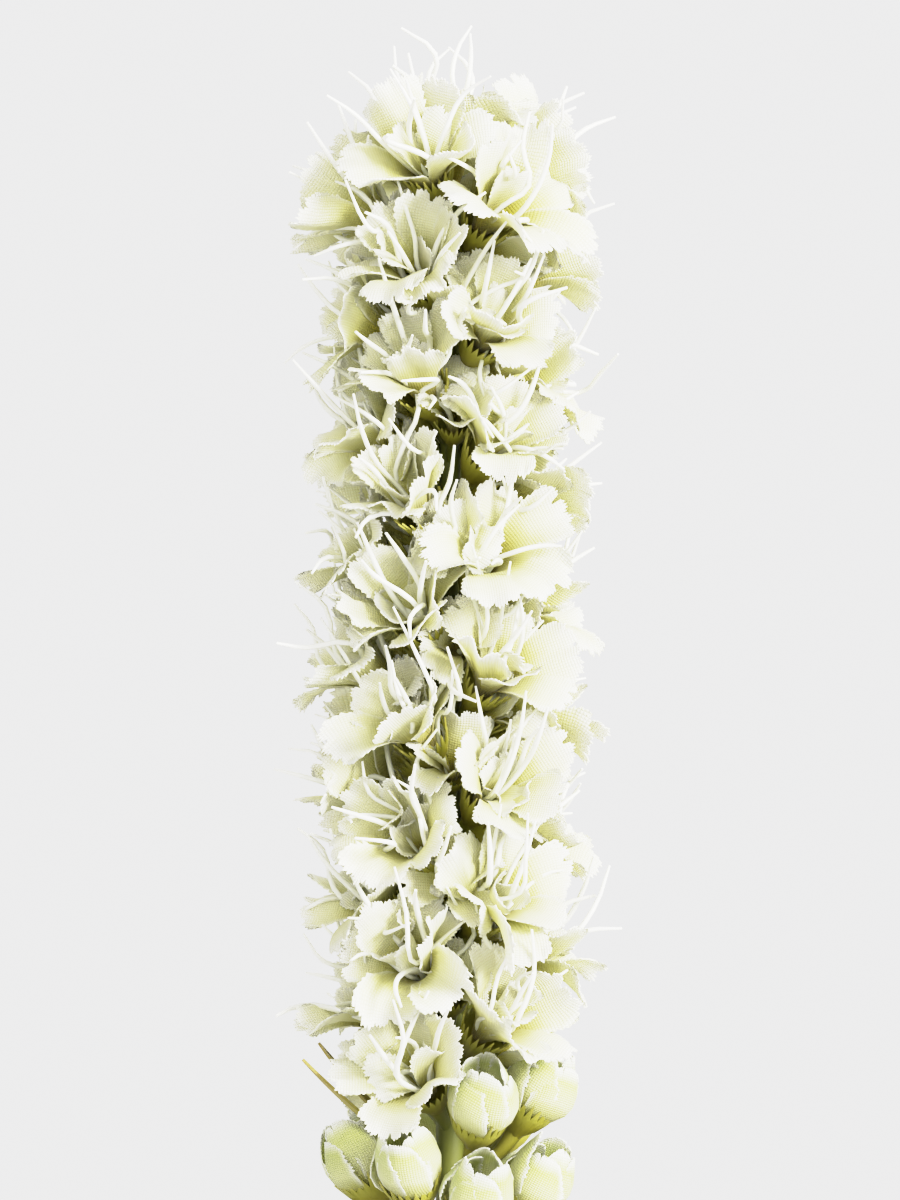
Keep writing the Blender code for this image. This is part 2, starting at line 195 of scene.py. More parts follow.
def thicken(piece, thickness, offset=0.0):
    take(piece)
    wall = piece.modifiers.new("Wall", "SOLIDIFY")
    wall.thickness = thickness
    wall.offset = offset
    bpy.ops.object.modifier_apply(modifier="Wall")


def points_of(piece):
    places = np.empty(len(piece.data.vertices) * 3)
    piece.data.vertices.foreach_get("co", places)
    return places.reshape(-1, 3)


def move_points(piece, places):
    piece.data.vertices.foreach_set("co", np.ascontiguousarray(places, dtype=np.float32).ravel())
    piece.data.update()


def drop_template(template):
    bpy.data.objects.remove(template)


# %% [markdown]
# ## Writing materials as sums
#
# Node trees are easier to read as arithmetic. A `Signal` wraps a socket, and adding or multiplying signals
# adds the Math nodes. Every other node comes from `Finish.node`, which takes the node's type, its settings
# and the values or links of its sockets.

# %% Signals and finishes
class Signal:
    """A value in a node tree that takes part in Python expressions."""

    def __init__(self, finish, socket):
        self.finish, self.socket = finish, socket

    def math(self, operation, other=0.0, swapped=False):
        pair = (other, self) if swapped else (self, other)
        return self.finish.node("ShaderNodeMath", {"operation": operation}, {0: pair[0], 1: pair[1]})[0]

    def __add__(self, other):
        return self.math("ADD", other)

    def __sub__(self, other):
        return self.math("SUBTRACT", other)

    def __rsub__(self, other):
        return self.math("SUBTRACT", other, swapped=True)

    def __mul__(self, other):
        return self.math("MULTIPLY", other)

    def __truediv__(self, other):
        return self.math("DIVIDE", other)

    def __pow__(self, other):
        return self.math("POWER", other)

    __radd__, __rmul__ = __add__, __mul__


class Made:
    """A node whose outputs are read as signals by number or name."""

    def __init__(self, finish, node):
        self.finish, self.made = finish, node

    def __getitem__(self, output):
        return Signal(self.finish, self.made.outputs[output])


class Finish:
    """One material and the maker of its nodes."""

    def __init__(self, name):
        self.material = bpy.data.materials.new(name)
        self.material.use_nodes = True
        self.tree = self.material.node_tree
        self.tree.nodes.clear()

    def node(self, kind, settings=None, sockets=None):
        node = self.tree.nodes.new(kind)
        for key, value in (settings or {}).items():
            if key == "stops":
                ramp = node.color_ramp.elements
                while len(ramp) < len(value):
                    ramp.new(0.5)
                for stop, (place, colour) in zip(ramp, value):
                    stop.position, stop.color = place, (*colour, 1.0)
            else:
                setattr(node, key, value)
        for key, value in (sockets or {}).items():
            if isinstance(value, Signal):
                self.tree.links.new(value.socket, node.inputs[key])
            elif isinstance(value, tuple) and len(value) == 3 and node.inputs[key].type == "RGBA":
                node.inputs[key].default_value = (*value, 1.0)
            else:
                node.inputs[key].default_value = value
        return Made(self, node)

    def ramp(self, signal, *stops):
        return self.node("ShaderNodeValToRGB", {"stops": stops}, {"Fac": signal})["Color"]

    def mix(self, share, first, second, blend="MIX"):
        return self.node("ShaderNodeMix", {"data_type": "RGBA", "blend_type": blend},
                         {0: share, 6: first, 7: second})[2]

    def attribute(self, name):
        return self.node("ShaderNodeAttribute", {"attribute_name": name})["Fac"]

    def noise(self, where, scale, detail=2.0):
        return self.node("ShaderNodeTexNoise", None, {
            "Vector": where, "Scale": scale, "Detail": detail})["Fac"]

    def place(self):
        return self.node("ShaderNodeTexCoord")["Object"]

    def bump(self, height, distance, strength=1.0):
        return self.node("ShaderNodeBump", None, {
            "Height": height, "Distance": distance, "Strength": strength})[0]

    def surface(self, shader):
        self.node("ShaderNodeOutputMaterial", None, {"Surface": shader})
        return self.material


# %% [markdown]
# ## Petal fabric
#
# The petals are die-cut from a thin plain-weave polyester and dyed from a white edge to an olive throat.
# Each petal carries its own UV map, in which one unit is ten millimetres of flat cloth, so the threads
# follow the petal wherever it bends. The threads are two ridged waves that cross. Light comes through such
# thin cloth, so part of the shader is Translucent.

# %% Woven fabric
THREAD_PITCH = 0.00046


def weave(finish):
    """Height of a plain weave: high on the threads and low in the small holes between them."""
    flat = finish.node("ShaderNodeUVMap", {"uv_map": "cloth"})["UV"]
    axes = finish.node("ShaderNodeSeparateXYZ", None, {0: flat})
    turns = math.pi * 0.010 / THREAD_PITCH
    across = (axes[0] * turns).math("SINE").math("ABSOLUTE")
    along = (axes[1] * turns).math("SINE").math("ABSOLUTE")
    return (across * along) ** 0.6


def fabric(name, stops, hole_shade, through, rim_white):
    finish = Finish(name)
    threads = weave(finish)
    along = finish.attribute("along")
    tone = finish.attribute("tone")
    cloudy = finish.noise(finish.place(), 260.0)
    dyed = finish.ramp(along + (cloudy - 0.5) * 0.22, *stops)
    dyed = finish.mix(tone * 0.22, dyed, hole_shade, "MULTIPLY")
    woven = finish.mix((1.0 - threads) * 0.62, dyed, hole_shade, "MULTIPLY")
    woven = finish.mix(finish.attribute("rim") ** 2.0 * rim_white, woven, (0.95, 0.95, 0.90))
    relief = finish.bump(threads, 0.00016, 0.8)
    front = finish.node("ShaderNodeBsdfPrincipled", None, {
        "Base Color": woven, "Roughness": 0.78, "Normal": relief,
        "Sheen Weight": 0.25, "Sheen Roughness": 0.5, "Specular IOR Level": 0.25})["BSDF"]
    glow = finish.node("ShaderNodeBsdfTranslucent", None, {"Color": woven, "Normal": relief})["BSDF"]
    return finish.surface(finish.node("ShaderNodeMixShader", None, {0: through, 1: front, 2: glow})[0])


petal_fabric = fabric("petal_fabric", (
    (0.00, (0.25, 0.20, 0.010)), (0.26, (0.44, 0.41, 0.05)), (0.48, (0.72, 0.72, 0.33)),
    (0.70, (0.89, 0.90, 0.66)), (1.00, (0.95, 0.95, 0.90))), (0.82, 0.78, 0.52), 0.44, 0.55)
# The bud's stops make the belly a lighter cream than the cloth below and above it, a painted highlight on the
# bud's widest part; the band below the white rim is greener.
bud_fabric = fabric("bud_fabric", (
    (0.00, (0.30, 0.27, 0.02)), (0.22, (0.58, 0.57, 0.18)), (0.46, (0.82, 0.83, 0.52)),
    (0.80, (0.68, 0.72, 0.32)), (1.00, (0.92, 0.93, 0.78))), (0.72, 0.74, 0.40), 0.40, 0.85)
print("fabrics", petal_fabric.name, bud_fabric.name)

# %% [markdown]
# ## Moulded plastic
#
# The filaments are soft white polyethylene with a slightly waxy skin. The cups, pegs and stem are olive
# green: each cup darker and browner towards its foot and lighter at its teeth, the stem's rod dark green and
# its pegs lighter and browner towards their tips.

# %% Plastics
def filament_plastic():
    finish = Finish("filament_plastic")
    along = finish.attribute("along")
    milky = finish.ramp(
        along, (0.0, (0.72, 0.75, 0.40)), (0.22, (0.90, 0.91, 0.78)), (1.0, (0.94, 0.93, 0.87)))
    front = finish.node("ShaderNodeBsdfPrincipled", None, {
        "Base Color": milky, "Roughness": 0.38, "Coat Weight": 0.15, "Coat Roughness": 0.3})["BSDF"]
    glow = finish.node("ShaderNodeBsdfTranslucent", None, {"Color": milky})["BSDF"]
    return finish.surface(finish.node("ShaderNodeMixShader", None, {0: 0.3, 1: front, 2: glow})[0])


def green_plastic(name, stops, gloss, mottle_scale):
    finish = Finish(name)
    where = finish.place()
    mottle = finish.noise(where, mottle_scale, 3.0)
    grain = finish.noise(where, 2600.0)
    along = finish.attribute("along")
    colour = finish.ramp(along + (mottle - 0.5) * 0.30, *stops)
    relief = finish.bump(grain * 0.4 + mottle, 0.00012, 0.5)
    shader = finish.node("ShaderNodeBsdfPrincipled", None, {
        "Base Color": colour, "Roughness": mottle * 0.2 + gloss, "Normal": relief})["BSDF"]
    return finish.surface(shader)


white_plastic = filament_plastic()
cup_plastic = green_plastic("cup_plastic", (
    (0.0, (0.13, 0.11, 0.006)), (0.35, (0.19, 0.17, 0.009)), (0.72, (0.25, 0.24, 0.022)),
    (1.0, (0.38, 0.35, 0.075))), 0.50, 420.0)
stem_plastic = green_plastic("stem_plastic", (
    (0.0, (0.070, 0.085, 0.005)), (0.5, (0.115, 0.120, 0.008)), (1.0, (0.18, 0.165, 0.011))), 0.55, 150.0)
leaf_plastic = green_plastic("leaf_plastic", (
    (0.0, (0.20, 0.24, 0.030)), (0.6, (0.15, 0.22, 0.025)), (1.0, (0.26, 0.20, 0.040))), 0.45, 120.0)
print("plastics", white_plastic.name, cup_plastic.name, stem_plastic.name, leaf_plastic.name)

# %% [markdown]
# ## A flat petal
#
# Real petals are stamped flat with pinking dies and then pressed into shape. The lesson does the same: a
# grid is widened row by row into a fan, its outer edge is cut finer, and every second point is pushed out
# to make the pinked teeth. A few points are pulled in for the little tears and frays.

# %% Cut a petal from a grid
NOTCH_WIDTH = 0.13


def cut_petal(name, length, half_widths, columns, tooth, roundness, notches, seed, material,
              toothed_from=0.5):
    """Cuts one flat petal. notches are (side share, depth) of the deeper cuts in its outer edge."""
    draw = random.Random(seed)
    rows = len(half_widths) - 1
    bpy.ops.mesh.primitive_grid_add(x_subdivisions=columns, y_subdivisions=rows, size=1.0)
    petal = bpy.context.object
    petal.name = name
    edit(petal)
    bpy.ops.transform.translate(value=(0, 0.5, 0))
    bpy.ops.transform.resize(value=(1, length, 1), center_override=(0, 0, 0))
    for row, half_width in enumerate(half_widths):
        y = length * row / rows
        pick(lambda co: abs(co.y - y) < length * 0.01)
        bpy.ops.transform.resize(value=(half_width * 2, 1, 1), center_override=(0, y, 0))
    for column in range(columns + 1):
        share = abs(column / columns * 2 - 1)
        for row in range(rows // 2 + 1, rows + 1):
            x = half_widths[row] * (column / columns * 2 - 1)
            pull = roundness * share ** 2.6 * (row / rows) ** 3
            pick(lambda co: abs(co.x - x) < 1e-6 and abs(co.y - length * row / rows) < length * 0.01)
            bpy.ops.transform.translate(value=(0, -pull, 0))
    pick_outline(petal, length * toothed_from)
    bpy.ops.mesh.subdivide(number_cuts=4)
    pink_edge(petal, length, half_widths[-1], tooth, notches, toothed_from, draw)
    bpy.ops.mesh.select_all(action="DESELECT")
    bpy.ops.mesh.select_mode(type="FACE")
    bpy.ops.mesh.select_face_by_sides(number=4, type="GREATER")
    bpy.ops.mesh.quads_convert_to_tris(quad_method="BEAUTY", ngon_method="BEAUTY")
    leave()
    spread_cloth(petal, length)
    petal.data.materials.append(material)
    petal.data.shade_smooth()
    return petal


def pick_outline(petal, above):
    """Selects the edges of the outline that lie wholly above a height."""
    bpy.ops.mesh.select_mode(type="EDGE")
    shape = bmesh.from_edit_mesh(petal.data)
    for edge in shape.edges:
        edge.select = edge.is_boundary and all(point.co.y > above for point in edge.verts)
    shape.select_flush_mode()
    bmesh.update_edit_mesh(petal.data)


def pink_edge(petal, length, half_width, tooth, notches, toothed_from, draw):
    """Every second point of the outline is pushed out and its neighbours in, as pinking shears cut it."""
    bpy.ops.mesh.select_mode(type="VERT")
    shape = bmesh.from_edit_mesh(petal.data)
    outline = [p.co.copy() for p in shape.verts if p.is_boundary and p.co.y > length * (toothed_from + 0.02)]
    middle = Vector((0, length * 0.55, 0))
    outline.sort(key=lambda co: math.atan2(co.x, co.y - middle.y))
    for place, corner in enumerate(outline):
        outward = (corner - middle).normalized()
        push = tooth * ((1.0 if place % 2 else -0.5) + draw.uniform(-0.45, 0.45))
        for share, depth in notches:
            near = max(0.0, 1 - abs(corner.x / half_width - share) / NOTCH_WIDTH)
            push -= depth * near * (corner.y > length * 0.8)
        pick(lambda co: (co - corner).length < 1e-7)
        bpy.ops.transform.translate(value=outward * push)


def spread_cloth(petal, length):
    """A UV map of the flat cloth, ten millimetres to the unit, and each point's way along the petal."""
    flat = points_of(petal)
    while petal.data.uv_layers:
        petal.data.uv_layers.remove(petal.data.uv_layers[0])
    cloth = petal.data.uv_layers.new(name="cloth")
    for corner in petal.data.loops:
        cloth.data[corner.index].uv = flat[corner.vertex_index, :2] / 0.010
    along = petal.data.attributes.new("along", "FLOAT", "POINT")
    along.data.foreach_set("value", np.clip(flat[:, 1] / length, 0, 1).astype(np.float32))
    petal.data.attributes.new("tone", "FLOAT", "POINT")
    faces_at = np.bincount([corner.edge_index for corner in petal.data.loops],
                           minlength=len(petal.data.edges))
    rim = np.zeros(len(flat), dtype=np.float32)
    for edge in petal.data.edges:
        if faces_at[edge.index] == 1:
            rim[list(edge.vertices)] = 1.0
    rim[flat[:, 1] < length * 0.3] = 0.0
    petal.data.attributes.new("rim", "FLOAT", "POINT").data.foreach_set("value", rim)


PETAL_LENGTH = 0.0168
petal_cuts = [
    cut_petal("fan_a", PETAL_LENGTH, (0.0013, 0.0023, 0.0037, 0.0050, 0.0059, 0.0062), 8, 0.00034, 0.0030,
              ((-0.75, 0.0007), (-0.30, 0.0006), (0.15, 0.0016), (0.62, 0.0008)), 1, petal_fabric),
    cut_petal("fan_b", PETAL_LENGTH, (0.0013, 0.0022, 0.0034, 0.0045, 0.0052, 0.0053), 8, 0.00038, 0.0024,
              ((-0.45, 0.0012), (0.05, 0.0005), (0.48, 0.0012)), 2, petal_fabric),
    cut_petal("fan_c", PETAL_LENGTH, (0.0013, 0.0024, 0.0040, 0.0054, 0.0063, 0.0064), 8, 0.00032, 0.0038,
              ((-0.62, 0.0007), (-0.12, 0.0012), (0.32, 0.0005), (0.75, 0.0009)), 3, petal_fabric),
    cut_petal("fan_d", PETAL_LENGTH, (0.0013, 0.0023, 0.0036, 0.0048, 0.0057, 0.0060), 8, 0.00040, 0.0020,
              ((-0.55, 0.0010), (-0.10, 0.0006), (0.45, 0.0022)), 8, petal_fabric)]
tongue_cuts = [
    cut_petal("tongue_a", PETAL_LENGTH, (0.0012, 0.0018, 0.0025, 0.0032, 0.0037, 0.0036), 6, 0.00034, 0.0018,
              ((-0.4, 0.0006), (0.2, 0.0010)), 4, petal_fabric),
    cut_petal("tongue_b", PETAL_LENGTH, (0.0012, 0.0019, 0.0027, 0.0036, 0.0043, 0.0045), 6, 0.00036, 0.0022,
              ((-0.3, 0.0014), (0.4, 0.0006)), 5, petal_fabric)]
print("petal faces", [len(cut.data.polygons) for cut in petal_cuts + tongue_cuts])

# %% [markdown]
# ## Bending a petal
#
# A heat press gives each petal its curve: upright in the cup, then opening outwards, hollow across its
# width and ruffled at the edge. Blender's bend operator needs a window, and stacked deform modifiers can't
# follow a changing curve, so the bend is a formula: walk along the petal by angle, and wrap its width round
# an arc.

# %% The press
def press(petal, root, angles, curl, hollow, fold, ruffle, azimuth,
          twist=0.0, widen=1.0, lengthen=1.0, tone=0.0):
    """root is the (radius, height) where the petal starts. angles are measured from the floret's axis."""
    flat = points_of(petal)
    x, t = flat[:, 0] * widen, flat[:, 1] / PETAL_LENGTH
    tip = np.clip(t, 0, 1)
    walk = np.linspace(0, 1.25, 51)
    lean = angles[0] + (angles[1] - angles[0]) * np.clip(walk / 0.62, 0, 1) ** 1.2
    lean = lean + curl * np.clip(walk - 0.55, 0, 1) ** 1.5 * 3.3
    step = PETAL_LENGTH * lengthen * (walk[1] - walk[0])
    radius = root[0] + np.concatenate([[0], np.cumsum(np.sin(lean[:-1]) * step)])
    height = root[1] + np.concatenate([[0], np.cumsum(np.cos(lean[:-1]) * step)])
    r, z, a = (np.interp(t, walk, line) for line in (radius, height, lean))
    bend = (1 - tip) ** 1.8 / np.maximum(r, 0.0016) + hollow * tip ** 0.7
    bend = np.where(np.abs(bend) < 1.0, 1.0, bend)
    side = np.sin(x * bend) / bend
    rise = (1 - np.cos(x * bend)) / bend + fold * tip * (np.sqrt(x * x + 4e-7) - 0.0006)
    size, count, phase = ruffle
    rise = rise + size * tip ** 2 * np.sin(x / 0.0058 * math.pi * count + phase)
    turn = twist * tip
    side, rise = side * np.cos(turn) - rise * np.sin(turn), side * np.sin(turn) + rise * np.cos(turn)
    r, z = r - np.cos(a) * rise, z + np.sin(a) * rise
    move_points(petal, np.stack([r * math.cos(azimuth) - side * math.sin(azimuth),
                                 r * math.sin(azimuth) + side * math.cos(azimuth), z], axis=1))
    petal.data.attributes["tone"].data.foreach_set("value", np.full(len(flat), tone, dtype=np.float32))


def set_in(piece, placed):
    """Writes the piece's place into its mesh."""
    piece.data.transform(placed)


# %% [markdown]
# ## The florets
#
# Each open floret has an outer ring of six fans and two inner tongues that stand more upright. The fans
# take their flare and length from the same draws as the solid's lobes, and each is pressed a little
# differently, because a tidy ring would look like a rose. Each floret is one piece, thickened like cloth.

# %% Dress every floret
LOBES = 5
OUTER_PETALS = 6
INNER_PETALS = 2
SMALL_OUTER = 4
SMALL_INNER = 1
CLOTH = 0.00022
CROWN_DROPS = (0.0062, 0.0018, 0.0)


def solid_draws(seed, growth):
    """The draws that shaped the solid: lobes (azimuth, flare, length) and filaments (turn, lean, bend)."""
    draw = random.Random(LAYOUT_SEED * 1000 + seed)
    step = math.tau / LOBES
    turn = draw.uniform(0, step)
    lobes = []
    for lobe in range(LOBES):
        middle = turn + step * (lobe + 0.5)
        flare = math.radians(52.0 + 9.0 * math.cos(middle) + draw.uniform(-5, 5))
        lobes.append((middle, flare, growth * (1 + draw.uniform(-0.06, 0.06))))
    first = draw.uniform(0, math.tau)
    threads = []
    for place in range(3):
        lean, bend = draw.uniform(10, 20), draw.uniform(-16, 22)
        threads.append((first + math.tau * place / 3, math.radians(lean), math.radians(bend)))
    return lobes, threads


def floret_cloth(name, frame_matrix, lobes, seed, growth, outer=OUTER_PETALS, inner=INNER_PETALS):
    draw = random.Random(seed)
    petals = []
    for number in range(outer):
        middle = lobes[0][0] + math.tau * number / outer + math.radians(draw.uniform(-16, 16))
        _, flare, length = lobes[number * LOBES // outer]
        petal = copy_of(draw.choice(petal_cuts), f"{name}_fan_{number}")
        press(petal, (0.0016, 0.0128), (math.radians(14), flare + math.radians(draw.uniform(-26, 20))),
              curl=math.radians(draw.uniform(-40, 80)), hollow=draw.uniform(-130, 190),
              fold=draw.uniform(-0.40, 0.45),
              ruffle=(draw.uniform(0.0002, 0.0011), draw.choice((1, 1.5, 2)), draw.uniform(0, math.tau)),
              azimuth=middle, twist=math.radians(draw.uniform(-42, 42)),
              widen=draw.uniform(0.88, 1.12), lengthen=(0.50 + 0.5 * length) * draw.uniform(0.90, 1.12),
              tone=draw.random())
        petals.append(petal)
    for number in range(inner):
        middle = lobes[0][0] + math.tau * (number + 0.5) / inner + math.radians(draw.uniform(-40, 40))
        petal = copy_of(draw.choice(tongue_cuts + petal_cuts[1:2]), f"{name}_tongue_{number}")
        press(petal, (0.0010, 0.0132), (math.radians(6), math.radians(draw.uniform(6, 50))),
              curl=math.radians(draw.uniform(-50, 80)), hollow=draw.uniform(-120, 240),
              fold=draw.uniform(-0.4, 0.6),
              ruffle=(draw.uniform(0.0002, 0.0009), 1.5, draw.uniform(0, math.tau)),
              azimuth=middle, twist=math.radians(draw.uniform(-70, 70)),
              widen=draw.uniform(0.8, 1.1), lengthen=draw.uniform(0.56, 0.84) * (0.6 + 0.4 * growth),
              tone=draw.random())
        petals.append(petal)
    cloth = join(name, petals)
    throat = Matrix.Translation((0, 0, 0.0150))
    angle = math.radians(draw.uniform(0, 15))
    leaning = Matrix.Rotation(angle, 4, Vector((draw.uniform(-1, 1), draw.uniform(-1, 1), 0)))
    set_in(cloth, frame_matrix @ throat @ leaning @ throat.inverted())
    return cloth


florets, filament_starts, number, crown = [], [], 0, []
for whorl, frames in enumerate(whorls):
    in_crown = whorl <= CROWN_WHORLS
    growth = CROWN_GROWTH if in_crown else 1.0
    for place, floret_frame in enumerate(frames):
        lobes, threads = solid_draws(whorl * 10 + number, growth)
        filament_starts.append((floret_frame, threads))
        seed = 5000 + whorl * 10 + place
        if in_crown:
            lowered = floret_frame @ Matrix.Translation((0, 0, -CROWN_DROPS[whorl]))
            crown.append(floret_cloth(f"crown_{whorl}_{place}", lowered, lobes, seed, growth))
        else:
            number += 1
            made = floret_cloth(f"petals_{number:02d}", floret_frame, lobes, seed, growth)
            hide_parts(f"floret_{number:02d}")
            florets.append(made)
florets.insert(0, join("petals_crown", crown))
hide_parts("floret_crown")
small = []
for place, matrix in enumerate(between):
    lobes, _ = solid_draws(700 + place, 1.0)
    cloth = floret_cloth(f"small_{place}", matrix @ Matrix.Scale(SMALL_SCALE, 4), lobes, 6000 + place, 1.0,
                         SMALL_OUTER, SMALL_INNER)
    for corner in cloth.data.uv_layers["cloth"].data:
        corner.uv *= SMALL_SCALE
    small.append(cloth)
florets.append(join("petals_between", small))
for made in florets:
    thicken(made, CLOTH)
    bpy.ops.object.shade_smooth_by_angle(angle=math.radians(65))
    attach(made, "root")
print("florets dressed", len(florets), "faces each", len(florets[5].data.polygons))

# %% [markdown]
# ## Filaments
#
# Long curved filaments stand out of each floret like a paintbrush. Each is a Bezier curve whose radius
# shrinks to a point, because a curve gives a smooth taper with very few faces. Three of them follow the
# solid's own filaments, and the others fill the tuft.

# %% Draw the filaments
FILAMENT_RADIUS = 0.00054
FILAMENT_ROOT = 0.0135
FILAMENT_TAPER = (1.0, 1.0, 0.98, 0.90, 0.45)


def filament_line(matrix, turn, lean, bend, length, sweep, lift):
    """Five points on a filament that leans out, bends on its way and is lifted towards the sky at its tip."""
    heading = Vector((math.cos(turn), math.sin(turn), 0))
    sideways = Vector((-math.sin(turn), math.cos(turn), 0))
    axis = Vector((0, 0, 1))
    point = heading * 0.0010 + axis * FILAMENT_ROOT
    leaning = 1 - matrix.col[2].z ** 4
    line = [matrix @ point]
    for step in range(1, 5):
        angle = lean + bend * (step - 1) / 3
        aside = sweep * math.sin(step * 1.9 + turn * 3)
        point = point + (heading * math.sin(angle) + axis * math.cos(angle) + sideways * aside) * (length / 4)
        line.append(matrix @ point + Vector((0, 0, lift * leaning * (step / 4) ** 2)))
    return line


def add_filament(curve, line, thickness):
    spline = curve.splines.new("BEZIER")
    spline.bezier_points.add(len(line) - 1)
    spline.resolution_u = 3
    for knot, place, taper in zip(spline.bezier_points, line, FILAMENT_TAPER):
        knot.co = place
        knot.handle_left_type = knot.handle_right_type = "AUTO"
        knot.radius = thickness * taper


def curve_object(name, depth):
    curve = bpy.data.curves.new(name, "CURVE")
    curve.dimensions = "3D"
    curve.bevel_depth = depth
    curve.bevel_resolution = 1
    curve.use_fill_caps = True
    made = bpy.data.objects.new(name, curve)
    bpy.context.scene.collection.objects.link(made)
    return made


tuft = curve_object("filaments", FILAMENT_RADIUS)
starts = []
for number, (matrix, threads) in enumerate(filament_starts):
    draw = random.Random(9000 + number)
    for turn, lean, bend in threads:
        line = filament_line(matrix, turn, lean, bend + math.radians(draw.uniform(-50, 70)),
                             draw.uniform(0.0170, 0.0225), draw.uniform(-1.1, 1.1), draw.uniform(0, 0.008))
        add_filament(tuft.data, line, draw.uniform(0.85, 1.1))
        starts.append(line[0])
    for extra in range(3):
        turn = threads[extra][0] + math.tau / 6 + draw.uniform(-0.3, 0.3)
        line = filament_line(
            matrix, turn, math.radians(draw.uniform(4, 30)), math.radians(draw.uniform(-70, 95)),
            draw.uniform(0.0150, 0.0240), draw.uniform(-1.3, 1.3), draw.uniform(0, 0.010))
        add_filament(tuft.data, line, draw.uniform(0.8, 1.0))
        starts.append(line[0])
for number, matrix in enumerate(between):
    draw = random.Random(9500 + number)
    for extra in range(2):
        line = filament_line(matrix @ Matrix.Translation((0, 0, -0.0035)), draw.uniform(0, math.tau),
                             math.radians(draw.uniform(4, 26)), math.radians(draw.uniform(-60, 80)),
                             draw.uniform(0.0150, 0.0220), draw.uniform(-1.2, 1.2), draw.uniform(0, 0.009))
        add_filament(tuft.data, line, draw.uniform(0.75, 1.0))
        starts.append(line[0])
take(tuft)
bpy.ops.object.convert(target="MESH")
tuft = bpy.context.object
tuft.data.materials.append(white_plastic)
tuft.data.shade_smooth()
roots = np.array(starts)
places = points_of(tuft)
nearest = np.sqrt(((places[:, None, :] - roots[None, :, :]) ** 2).sum(axis=2)).min(axis=1)
tuft.data.attributes.new("along", "FLOAT", "POINT").data.foreach_set(
    "value", np.clip(nearest / 0.020, 0, 1).astype(np.float32))
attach(tuft, "root")
print("filaments", len(starts), "faces", len(tuft.data.polygons))

# %% [markdown]
# ## Toothed cups
#
# Each floret sits in a moulded cup with ribs up its side and a fringe of fine pointed teeth. A circle is
# extruded and widened ring by ring, every second line of points is pulled in for the ribs, and every second
# rim point is pulled up into a tooth. The wall then gets its thickness.

# %% Model one cup
CUP_SIDES = 44
FLORET_CUP_RINGS = ((0.0014, 0.00200), (0.0036, 0.00340), (0.0060, 0.00430), (0.0074, 0.00465))
BUD_CUP_RINGS = ((0.0014, 0.00200), (0.0034, 0.00390), (0.0055, 0.00520), (0.0074, 0.00600))


def model_cup(name, rings, tooth, spread):
    bpy.ops.mesh.primitive_circle_add(vertices=CUP_SIDES, radius=0.0013, fill_type="NGON")
    cup = bpy.context.object
    cup.name = name
    edit(cup)
    bpy.ops.mesh.select_all(action="SELECT")
    radius, height = 0.0013, 0.0
    for to_height, to_radius in rings:
        bpy.ops.mesh.extrude_region_move(TRANSFORM_OT_translate={"value": (0, 0, to_height - height)})
        bpy.ops.transform.resize(value=(to_radius / radius, to_radius / radius, 1),
                                 center_override=(0, 0, to_height))
        radius, height = to_radius, to_height
    bpy.ops.mesh.delete(type="ONLY_FACE")
    step = math.tau / CUP_SIDES
    rim = height - 0.0002

    def on_groove(co):
        return round(math.atan2(co.y, co.x) / step) % 2 == 1 and co.z > 0.0020

    pick(on_groove)
    bpy.ops.transform.resize(value=(0.92, 0.92, 1), center_override=(0, 0, 0))
    pick(lambda co: co.z > rim and not on_groove(co))
    bpy.ops.transform.translate(value=(0, 0, tooth))
    bpy.ops.transform.resize(value=(spread, spread, 1), center_override=(0, 0, 0))
    pick(lambda co: co.z > rim and on_groove(co))
    bpy.ops.transform.translate(value=(0, 0, -0.0012))
    bpy.ops.mesh.select_all(action="SELECT")
    bpy.ops.mesh.normals_make_consistent(inside=False)
    leave()
    cup.data.materials.append(cup_plastic)
    thicken(cup, 0.00030, -1.0)
    take(cup)
    bpy.ops.object.shade_smooth_by_angle(angle=math.radians(50))
    height = points_of(cup)[:, 2]
    cup.data.attributes.new("along", "FLOAT", "POINT").data.foreach_set(
        "value", np.clip(height / 0.0094, 0, 1).astype(np.float32))
    return cup


floret_cup = model_cup("floret_cup_template", FLORET_CUP_RINGS, 0.0018, 1.12)
bud_cup = model_cup("bud_cup_template", BUD_CUP_RINGS, 0.0024, 1.13)
print("cup faces", len(floret_cup.data.polygons))

# %% [markdown]
# Every second tooth of a real cup is bent or shorter, so each copy is turned by its own amount and its
# teeth are jittered a little before it is set on its peg.

# %% Set the cups on their pegs
CUP_START = 0.0072


def cup_copies(name, template, frames, scale, start, seed):
    draw = random.Random(seed)
    cups = []
    for number, matrix in enumerate(frames):
        cup = copy_of(template, f"{name}_{number}")
        places = points_of(cup)
        round_the_rim = np.arctan2(places[:, 1], places[:, 0]) / math.tau * CUP_SIDES
        tooth = np.round(round_the_rim).astype(int) % CUP_SIDES
        bent = np.array([draw.uniform(-1, 1) for _ in range(CUP_SIDES)])[tooth]
        reach = np.clip((places[:, 2] - 0.0070) / 0.0022, 0, 1)
        places[:, 2] += reach * bent * 0.0008
        places[:, :2] *= (1 + reach * bent[::-1] * 0.06)[:, None]
        move_points(cup, places)
        set_in(cup, matrix @ Matrix.Translation((0, 0, start))
               @ Matrix.Rotation(draw.uniform(0, math.tau), 4, "Z") @ Matrix.Scale(scale, 4))
        cups.append(cup)
    made = join(name, cups)
    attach(made, "root")
    return made


all_cups = [
    cup_copies("floret_cups", floret_cup, [m for whorl in whorls for m in whorl], 1.0, CUP_START, 21),
    cup_copies("small_cups", floret_cup, between, SMALL_SCALE, CUP_START * SMALL_SCALE, 23),
    cup_copies("bud_cups", bud_cup, bud_frames, 0.86, -0.0004, 22)]
drop_template(floret_cup)
drop_template(bud_cup)
print("cup faces", [len(cups.data.polygons) for cups in all_cups])

# %% [markdown]
# ## Buds
#
# A half-closed bud is six overlapping rounded petals round a hollow, three outside and three tucked inside
# them. Each is a broad oval of the same fabric, wrapped round the bud's belly, with one edge lifted over
# its neighbour. The rims are frayed and stand a little apart, so the mouth looks like a tulip's.

